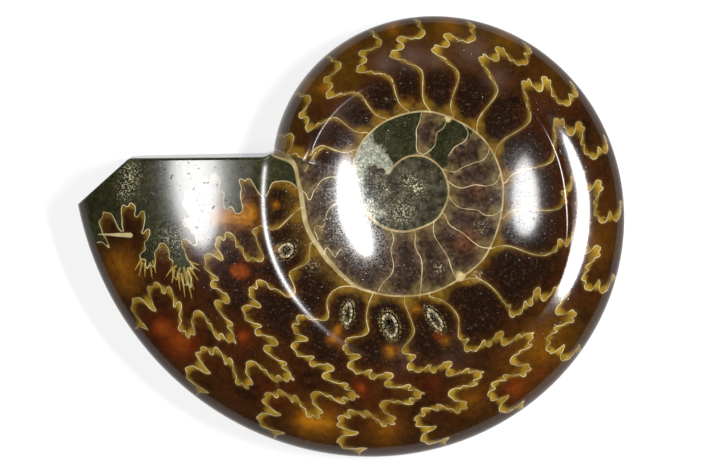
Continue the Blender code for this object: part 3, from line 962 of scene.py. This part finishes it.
SPOTS = {  # where light comes back from inside the stone, and where grains, a painted sheen and a painted highlight lie: seen point, radius in pixels, strength
    "amber": (
        (220, 218, 14, 0.9), (245, 214, 15, 1.3), (120, 262, 14, 0.7), (128, 282, 14, 0.5),
        (308, 420, 15, 1.0), (330, 424, 13, 0.7), (386, 428, 15, 0.6), (333, 339, 9, 0.8),
        (338, 328, 6, 0.8), (390, 351, 9, 0.9), (416, 309, 7, 0.9), (393, 27, 7, 0.8),
        (325, 87, 7, 0.8), (411, 101, 6, 0.7), (446, 341, 7, 0.8), (276, 205, 5, 1.0),
        (540, 345, 22, 0.5), (590, 250, 18, 0.3), (470, 400, 14, 0.4), (300, 84, 12, 0.5),
        (277, 249, 5, 0.9), (486, 262, 8, 0.6), (449, 24, 10, 0.5), (509, 33, 12, 0.4),
        (345, 40, 12, 0.4),
    ),
    "red": (
        (243, 272, 9, 1.1), (234, 270, 7, 0.7), (181, 342, 17, 0.9), (160, 326, 12, 0.8),
        (243, 336, 8, 0.8), (361, 389, 8, 0.8), (430, 385, 9, 0.3), (468, 240, 12, 0.8),
        (478, 192, 8, 0.5), (210, 262, 8, 0.4), (438, 335, 6, 0.8), (515, 388, 14, 0.7),
        (540, 372, 9, 0.4), (270, 395, 12, 0.4),
    ),
    "olive": (
        (305, 85, 22, 0.9), (340, 55, 24, 0.8), (385, 35, 22, 0.6), (450, 28, 30, 0.8),
        (505, 38, 24, 0.8), (548, 75, 18, 0.4), (285, 125, 16, 0.6), (600, 230, 22, 0.3),
        (560, 330, 24, 0.5), (520, 372, 26, 0.5), (350, 80, 14, 0.5), (340, 300, 10, 0.3),
    ),
    # painted sheen: grey veils standing in for the soft reflection of the lamps in the polish
    "painted_sheen": (
        (411, 58, 13, 0.9), (384, 63, 11, 0.8), (472, 50, 14, 0.8), (495, 80, 12, 0.7),
        (436, 60, 10, 0.7), (345, 112, 10, 0.5), (262, 250, 12, 0.3), (400, 355, 14, 0.6),
        (450, 350, 16, 0.4), (460, 225, 12, 0.5), (352, 130, 9, 0.5), (235, 190, 14, 0.4),
        (330, 330, 12, 0.2),
    ),
    # pale grains in the mud and the inner turns, and a painted highlight on the disc at the middle
    "grains_and_glints": (
        (130, 172, 8, 1.0), (128, 186, 8, 1.0), (123, 196, 5, 0.8), (172, 240, 14, 0.5),
        (417, 188, 7, 1.4), (407, 180, 7, 0.8), (402, 212, 11, 0.9), (385, 190, 7, 0.5),
        (480, 228, 5, 0.8), (478, 275, 5, 0.8), (439, 268, 4, 0.9), (312, 265, 5, 0.7),
    ),
}
for name, spots in SPOTS.items():
    marks[name] = np.zeros(len(flat_points))
    for x, y, radius, strength in spots:
        away = np.hypot(*(flat_points - seen_point(float(x), float(y))).T) / (radius * PIXEL)
        marks[name] += strength * np.exp(-(away**2)) * on_top
for name, values in marks.items():
    mark = mesh.attributes.new(name, "FLOAT", "POINT")
    mark.data.foreach_set("value", values.astype(np.float32))


# The look of the stone
# Brown calcite, clear enough to glow amber and red from inside, with gold light in the frills.
# It has the wet shine of a hand polish, with small pits and a little scuffing in the bowl.


class Shade:
    """A value or a colour in a material, joined to others by arithmetic."""

    def __init__(self, tree, socket=None):
        self.tree, self.socket = tree, socket

    def node(self, kind, settings, inputs, output=0):
        made = self.tree.nodes.new("ShaderNode" + kind)
        for name, value in settings.items():
            setattr(made, name, value)
        for name, value in inputs.items():
            if isinstance(value, Shade):
                self.tree.links.new(value.socket, made.inputs[name])
            else:
                made.inputs[name].default_value = value
        return Shade(self.tree, made.outputs[output])

    def maths(self, operation, *values):
        return self.node("Math", {"operation": operation}, dict(enumerate(values)))

    def __add__(self, other):
        return self.maths("ADD", self, other)

    def __radd__(self, other):
        return self.maths("ADD", other, self)

    def __sub__(self, other):
        return self.maths("SUBTRACT", self, other)

    def __rsub__(self, other):
        return self.maths("SUBTRACT", other, self)

    def __mul__(self, other):
        return self.maths("MULTIPLY", self, other)

    def __rmul__(self, other):
        return self.maths("MULTIPLY", other, self)

    def step(self, low, high):
        """0 below low, 1 above high and a smooth ramp between."""
        return self.node("MapRange", {"interpolation_type": "SMOOTHSTEP"}, {0: self, 1: low, 2: high})

    def mix(self, below, above):
        """The colour below where this is 0, and above where it is 1."""
        return self.node("Mix", {"data_type": "RGBA"}, {0: self, 6: below, 7: above}, 2)

    def mark(self, name):
        """What the mesh keeps at each point under a name."""
        return self.node("Attribute", {"attribute_name": name}, {}, "Fac")

    def noise(self, size, detail):
        """Noise whose lumps are a size in millimetres."""
        place = self.node("TexCoord", {}, {}, "Object")
        return self.node("TexNoise", {}, {"Vector": place, "Scale": 1000.0 / size, "Detail": detail})


def colour(code):
    """A colour from its screen code, as Cycles wants it."""
    parts = [int(code[k:k + 2], 16) / 255.0 for k in (1, 3, 5)]
    return (*[p / 12.92 if p <= 0.04045 else ((p + 0.055) / 1.055) ** 2.4 for p in parts], 1.0)


PIT_DEPTH = 0.06
stone = bpy.data.materials.new("polished fossil")
stone.use_nodes = True
shader = stone.node_tree.nodes["Principled BSDF"]
paint = Shade(stone.node_tree)

line_distance, seam_distance, share = [paint.mark(name) for name in ("line", "seam", "share")]
amber, red, painted_sheen, muddy = [paint.mark(name) for name in ("amber", "red", "painted_sheen", "mud")]
outside = share.step(0.62, 0.74)  # 1 on the flank and 0 in the bowl
large = paint.noise(16.0, 2.0).step(0.38, 0.62)
middle = paint.noise(6.0, 3.0).step(0.36, 0.64)
small = paint.noise(2.2, 4.0).step(0.3, 0.7)
fine = paint.noise(0.5, 4.0)

# calcite of the last turn, with the light that comes back from inside it
brown = large.mix(colour("#0e0401"), colour("#270e01"))
brown = (middle * 0.5).mix(brown, colour("#341602"))
brown = (small * 0.25).mix(brown, colour("#452303"))
brown = (share.step(0.88, 1.0) * (0.3 + 0.4 * middle)).mix(brown, colour("#2a1a02"))
brown = (paint.mark("olive") * (0.6 + 0.4 * small)).mix(brown, colour("#432d02"))
# painted sheen: a grey-brown veil where the lamps' soft reflection lies in the polish
brown = (painted_sheen * 0.85).mix(brown, colour("#4c3a30"))
brown = (amber * (0.65 + 0.4 * small)).mix(brown, colour("#764604"))
brown = (amber.step(0.6, 1.1) * 0.6).mix(brown, colour("#9c640e"))
brown = (red * (0.6 + 0.3 * small)).mix(brown, colour("#5c1c02"))
brown = (red.step(0.3, 1.4) * (0.5 + 0.4 * small)).mix(brown, colour("#7f3c0d"))

# the middles of the chambers in the bowl, dark where nothing glows
glowing = amber + red
near = paint.maths("MINIMUM", line_distance, seam_distance * 0.4)
dark = near.step(0.5, 2.6) * (1.0 - outside) * (1.0 - glowing.step(0.1, 0.8))
brown = (dark * 0.85).mix(brown, colour("#150903"))

# light caught in the frills and in the corners by the seam
bay = paint.mark("bay").step(0.32, 0.80)
glow = (bay * (0.4 + 0.3 * small)).mix(brown, colour("#3c2303"))
edge = (1.0 - line_distance.step(0.15, 0.9)) * (0.25 + 0.25 * small)
glow = edge.mix(glow, colour("#4c3a0c"))
frill = paint.mark("frill").step(0.31, 0.68)
bright = (1.0 - line_distance.step(0.2, 1.9)) * (0.45 + 0.55 * middle)
gold = bright.mix(colour("#65480a"), colour("#907424"))
gold = (0.6 - 0.6 * paint.mark("last").step(2.0, 4.0)).mix(gold, colour("#33200c"))
glow = (frill * (0.75 + 0.25 * small)).mix(glow, gold)
wedge = paint.mark("wedge").step(0.42, 0.80) * (1.0 - seam_distance.step(12.0, 28.0))
glow = (wedge * (0.7 + 0.3 * small)).mix(glow, colour("#745614"))
glow = ((1.0 - seam_distance.step(2.0, 12.0)) * (0.25 + 0.35 * small)).mix(glow, colour("#5c4210"))

# the inner turns and the disc at their middle
mottle = paint.noise(1.3, 5.0).step(0.3, 0.72)
inside = paint.mark("inner")
inner = (0.5 * small + 0.5 * mottle).mix(colour("#20150e"), colour("#5c4937"))
inner = (dark * 0.8).mix(inner, colour("#261a12"))
# painted sheen over the inner turns
inner = (painted_sheen * 0.6).mix(inner, colour("#57433f"))
inner = (red * 0.7).mix(inner, colour("#5a2a0c"))
inner = (wedge * 0.6).mix(inner, colour("#6a5a34"))
stone_colour = inside.mix(glow, inner)
disc = small.mix(colour("#1e1c14"), colour("#474333"))
stone_colour = paint.mark("disc").mix(stone_colour, disc)

# mud and silvery calcite
mud = (0.5 * small + 0.5 * middle).mix(colour("#18190a"), colour("#2d2e18"))
mud = (fine.step(0.56, 0.75) * 0.3).mix(mud, colour("#5b5b45"))
stone_colour = muddy.mix(stone_colour, mud)
silver = fine.step(0.35, 0.7).mix(colour("#686a5c"), colour("#a3a491"))
stone_colour = paint.mark("silver").mix(stone_colour, silver)

# mottling, strongest in the bowl and the mud
rough_part = 1.0 - 0.65 * outside * (1.0 - muddy)
stone_colour = ((1.0 - mottle) * 0.45 * rough_part).mix(stone_colour, colour("#070402"))
pale = mottle * paint.noise(0.8, 3.0).step(0.5, 0.8) * rough_part
stone_colour = (pale * 0.35).mix(stone_colour, colour("#6b5133"))

# needles, bright grains with painted glints, and dark pits
spike = (1.0 - paint.mark("spike").step(0.5, 1.15)) * (0.55 + 0.4 * small)
stone_colour = spike.mix(stone_colour, colour("#8b7532"))
# painted glints: pale specks scattered by noise, most in the dark chamber middles and the inner turns
grains_and_glints = fine.step(0.62, 0.74) * paint.noise(2.0, 2.0).step(0.52, 0.72)
# grains, with the painted highlight on the disc
lit = (paint.mark("grains_and_glints") * fine.step(0.5, 0.64)).mix(stone_colour, colour("#a8a184"))
crumbs = (1.0 - paint.mark("hollow").step(1.0, 1.4)) * fine.step(0.48, 0.58) * (0.25 + 0.75 * small)
lit = (crumbs * 0.8).mix(lit, colour("#8b7b4e"))
lit = (grains_and_glints * (0.15 + 0.6 * dark + 0.3 * inside) * 0.8).mix(lit, colour("#958c78"))
pits = paint.noise(1.1, 2.0).step(0.24, 0.32)
lit = ((1.0 - pits) * 0.85).mix(lit, colour("#0b0704"))

# cream calcite, the splinter, the wall between the coils and the sutures
lit = (paint.mark("cream") * (0.6 + 0.4 * small)).mix(lit, colour("#a8996c"))
lit = ((1.0 - paint.mark("sliver").step(0.7, 1.1)) * (0.7 + 0.3 * small)).mix(lit, colour("#a3966a"))
wall = (1.0 - seam_distance.step(0.75, 1.35)) * (0.7 + 0.3 * small)
lit = wall.mix(lit, middle.mix(colour("#7d6d48"), colour("#9b8d66")))
line = (1.0 - line_distance.step(0.03, 0.19)) * (0.6 + 0.4 * small)
final = line.mix(lit, middle.mix(colour("#877850"), colour("#b8ab86")))
stone.node_tree.links.new(final.socket, shader.inputs["Base Color"])

# polish, scuffs and pits
shader.inputs["Specular IOR Level"].default_value = 0.28
scuff = fine.step(0.38, 0.72) * (0.4 + 0.6 * small)
worn = 0.05 + 0.12 * (1.0 - share.step(0.45, 0.65)) * (1.0 - muddy)
rough = 0.09 + 0.04 * muddy + worn * scuff + 0.1 * paint.mark("rim")
stone.node_tree.links.new(rough.socket, shader.inputs["Roughness"])
relief = pits + 0.15 * paint.noise(3.0, 2.0)
bump = paint.node("Bump", {}, {"Height": relief, "Distance": PIT_DEPTH * MM, "Strength": 0.5})
stone.node_tree.links.new(bump.socket, shader.inputs["Normal"])
mesh.materials.append(stone)
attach(body, "root")
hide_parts("fossil_dish")


# The crystals in the hollows
# Calcite crystals grew inwards from the walls of four chambers that stayed hollow. Each crust is
# one lump of small pointed crystals, with painted shade that darkens them deep in the opening at its
# middle.

CRYSTALS = 150  # in each hollow
CRYSTAL_LENGTHS, CRYSTAL_RADII = (0.55, 1.0), (0.16, 0.34)
POINT_SHARE = 0.25  # of the radius that is left at the tip, and of the length that stands past the root
ROOT_INSET, TIP_INSET = 0.5, 0.35  # how far roots and tips stay from the wall of the hollow
AIM_HEIGHT, AIM_SCATTER = 0.6, 0.45  # they lean towards a point over the middle of the hollow
UNDER_FACE = 0.06  # how far they stay below the bowl's face
DARK_FROM, DARK_SLOPE = 0.25, 2.2  # shares of the depth over which painted shade darkens the crystals

calcite = bpy.data.materials.new("calcite crystals")
calcite.use_nodes = True
shader = calcite.node_tree.nodes["Principled BSDF"]
paint = Shade(calcite.node_tree)
warm = paint.noise(1.6, 2.0).step(0.4, 0.62)
pale = paint.noise(0.6, 3.0).step(0.35, 0.65)
tint = warm.mix(colour("#6b4a22"), colour("#8d8468"))
tint = (pale * 0.7).mix(tint, colour("#c9bf9f"))
# painted shade: the crystals darken deeper in the hollow
tint = paint.mark("depth_shade").mix(tint, colour("#0d0906"))
calcite.node_tree.links.new(tint.socket, shader.inputs["Base Color"])
shader.inputs["Roughness"].default_value = 0.3


def crystal(shape, root, tall, thick, lean):
    """A pointed six-sided crystal that leans from its root."""
    tip = thick * POINT_SHARE
    made = bmesh.ops.create_cone(shape, cap_ends=True, segments=6, radius1=thick, radius2=tip, depth=tall)
    upright = lean.to_track_quat("Z", "X").to_matrix()
    bmesh.ops.rotate(shape, verts=made["verts"], matrix=upright, cent=(0, 0, 0))
    bmesh.ops.translate(shape, verts=made["verts"], vec=root + lean * tall * POINT_SHARE)


dice = random.Random(7)
for name, centre, length, width, depth, turn in HOLLOWS:
    shape = bmesh.new()
    roots, tips = [(length / 2 - gap, width / 2 - gap, depth - gap) for gap in (ROOT_INSET, TIP_INSET)]
    for k in range(CRYSTALS):
        down = Vector((dice.gauss(0, 1), dice.gauss(0, 1), -abs(dice.gauss(0, 0.8)) - 0.15)).normalized()
        root = Vector([part * half for part, half in zip(down, roots)])
        tall = dice.uniform(*CRYSTAL_LENGTHS)
        thick = dice.uniform(*CRYSTAL_RADII)
        scatter = Vector([dice.gauss(0, AIM_SCATTER) for _ in range(3)])
        lean = (-root + Vector((0, 0, AIM_HEIGHT)) + scatter).normalized()
        crystal(shape, root, tall, thick, lean)
    middle = Vector((*centre, float(bowl_height(*centre))))
    rotation = Euler((0.0, 0.0, math.radians(turn))).to_matrix()
    # painted shade: how deep each point lies, as a share of the hollow's depth
    depth_shade = []
    for vertex in shape.verts:
        depth_shade.append(min(max((-vertex.co.z / depth - DARK_FROM) * DARK_SLOPE, 0.0), 1.0))
        reach = Vector([part / half for part, half in zip(vertex.co, tips)])
        if reach.length > 1.0:
            vertex.co /= reach.length
        vertex.co = middle + rotation @ vertex.co
        surface = float(carved_height(vertex.co.x, vertex.co.y))
        vertex.co.z = min(vertex.co.z, surface - UNDER_FACE)
        vertex.co *= MM
    crust_mesh = bpy.data.meshes.new("crystals_" + name)
    shape.to_mesh(crust_mesh)
    shape.free()
    crust_mesh.attributes.new("depth_shade", "FLOAT", "POINT").data.foreach_set("value", depth_shade)
    crust_mesh.materials.append(calcite)
    crust = bpy.data.objects.new("crystals_" + name, crust_mesh)
    bpy.context.scene.collection.objects.link(crust)
    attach(crust, "root")
    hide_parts("crystal_crust_" + name)
